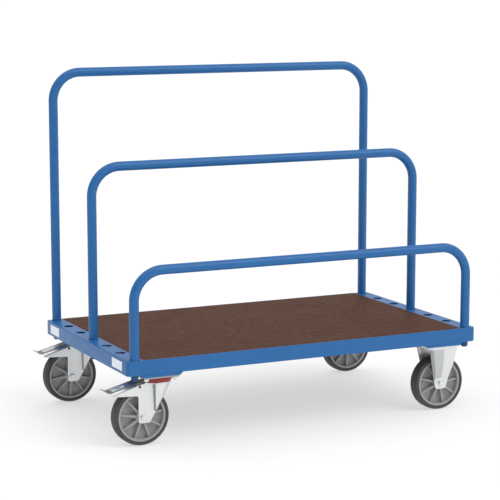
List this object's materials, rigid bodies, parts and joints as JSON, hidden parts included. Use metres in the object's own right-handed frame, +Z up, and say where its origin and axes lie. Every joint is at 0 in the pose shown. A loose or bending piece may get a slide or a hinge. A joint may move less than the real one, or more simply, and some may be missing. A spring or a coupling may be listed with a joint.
{
  "type": "platform trolley",
  "caption": "Platform trolley with a flat deck, plug-in U-shaped hoops of stepped heights for boards on edge, fixed castors and braked swivel castors.",
  "frame": {"origin": "on the floor, under the middle of the outline, which includes the brake pedals that reach out past the frame at -X", "axes": "+X along the deck's long side towards the fixed castors, +Y towards the tall hoop, +Z up"},
  "size_m": [1.437, 0.81, 1.2399],
  "materials": {
    "blue_paint": "light blue powder coat with a slight orange-peel texture",
    "deck_film": "brown phenolic film-faced plywood with a fine non-slip mesh pressed in",
    "zinc": "bright zinc-plated pressed steel",
    "dark_steel": "blackened and oiled steel",
    "red_seal": "red moulded plastic dust seal",
    "wheel_grey": "silver-grey moulded polyamide, slightly glossy on the edges",
    "tyre_dark": "dark grey elastic rubber tread, matt",
    "label_white": "blank white film sticker"
  },
  "bodies": {
    "frame": {"cross_member_1": "blue_paint", "cross_member_2": "blue_paint", "cross_member_3": "blue_paint", "cross_member_4": "blue_paint", "deck_board": "deck_film", "fixed_axle_front": "zinc", "fixed_axle_rear": "zinc", "fixed_bracket_front": "zinc", "fixed_bracket_rear": "zinc", "front_rail": "blue_paint", "front_rail_shelf": "blue_paint", "kingpin_front": "zinc", "kingpin_rear": "zinc", "label_front": "label_white", "label_rear": "label_white", "left_hole_strip": "blue_paint", "mounting_plate_front_left": "blue_paint", "mounting_plate_front_right": "blue_paint", "mounting_plate_rear_left": "blue_paint", "mounting_plate_rear_right": "blue_paint", "rear_rail": "blue_paint", "rear_rail_shelf": "blue_paint", "right_hole_strip": "blue_paint", "swivel_plate_front": "zinc", "swivel_plate_rear": "zinc"},
    "hoop_rear": {"hoop_rear": "blue_paint", "hoop_rear_spigot_left": "blue_paint", "hoop_rear_spigot_right": "blue_paint"},
    "hoop_middle": {"hoop_middle": "blue_paint", "hoop_middle_spigot_left": "blue_paint", "hoop_middle_spigot_right": "blue_paint"},
    "hoop_front": {"hoop_front": "blue_paint", "hoop_front_spigot_left": "blue_paint", "hoop_front_spigot_right": "blue_paint"},
    "fork_front": {"fork_front": "zinc", "pedal_pin_front": "dark_steel", "seal_front": "red_seal", "swivel_axle_front": "zinc", "swivel_bearing_front": "dark_steel"},
    "pedal_front": {"brake_pedal_front": "zinc", "brake_shoe_front": "dark_steel"},
    "swivel_wheel_front": {"swivel_wheel_front_bearing": "dark_steel", "swivel_wheel_front_centre": "wheel_grey", "swivel_wheel_front_tyre": "tyre_dark"},
    "fixed_wheel_front": {"fixed_wheel_front_bearing": "dark_steel", "fixed_wheel_front_centre": "wheel_grey", "fixed_wheel_front_tyre": "tyre_dark"},
    "fork_rear": {"fork_rear": "zinc", "pedal_pin_rear": "dark_steel", "seal_rear": "red_seal", "swivel_axle_rear": "zinc", "swivel_bearing_rear": "dark_steel"},
    "pedal_rear": {"brake_pedal_rear": "zinc", "brake_shoe_rear": "dark_steel"},
    "swivel_wheel_rear": {"swivel_wheel_rear_bearing": "dark_steel", "swivel_wheel_rear_centre": "wheel_grey", "swivel_wheel_rear_tyre": "tyre_dark"},
    "fixed_wheel_rear": {"fixed_wheel_rear_bearing": "dark_steel", "fixed_wheel_rear_centre": "wheel_grey", "fixed_wheel_rear_tyre": "tyre_dark"}
  },
  "joints": [
    {"name": "hoop_rear_lift", "type": "slide", "parent": "frame", "child": "hoop_rear", "axis": [0, 0, 1], "range_m": [0, 0.08]},
    {"name": "hoop_middle_lift", "type": "slide", "parent": "frame", "child": "hoop_middle", "axis": [0, 0, 1], "range_m": [0, 0.08]},
    {"name": "hoop_front_lift", "type": "slide", "parent": "frame", "child": "hoop_front", "axis": [0, 0, 1], "range_m": [0, 0.08]},
    {"name": "fork_front_swivel", "type": "hinge", "parent": "frame", "child": "fork_front", "pos_m": [-0.5235, -0.347, 0.1], "axis": [0, 0, 1], "continuous": true},
    {"name": "swivel_wheel_front_spin", "type": "hinge", "parent": "fork_front", "child": "swivel_wheel_front", "pos_m": [-0.5845, -0.347, 0.1], "axis": [0, 1, 0], "continuous": true},
    {"name": "fixed_wheel_front_spin", "type": "hinge", "parent": "frame", "child": "fixed_wheel_front", "pos_m": [0.5905, -0.347, 0.1], "axis": [0, 1, 0], "continuous": true},
    {"name": "pedal_front_lift", "type": "hinge", "parent": "fork_front", "child": "pedal_front", "pos_m": [-0.5955, -0.347, 0.2065], "axis": [0, 1, 0], "range_deg": [0, 12]},
    {"name": "fork_rear_swivel", "type": "hinge", "parent": "frame", "child": "fork_rear", "pos_m": [-0.5235, 0.347, 0.1], "axis": [0, 0, 1], "continuous": true},
    {"name": "swivel_wheel_rear_spin", "type": "hinge", "parent": "fork_rear", "child": "swivel_wheel_rear", "pos_m": [-0.5845, 0.347, 0.1], "axis": [0, 1, 0], "continuous": true},
    {"name": "fixed_wheel_rear_spin", "type": "hinge", "parent": "frame", "child": "fixed_wheel_rear", "pos_m": [0.5905, 0.347, 0.1], "axis": [0, 1, 0], "continuous": true},
    {"name": "pedal_rear_lift", "type": "hinge", "parent": "fork_rear", "child": "pedal_rear", "pos_m": [-0.5955, 0.347, 0.2065], "axis": [0, 1, 0], "range_deg": [0, 12]}
  ]
}
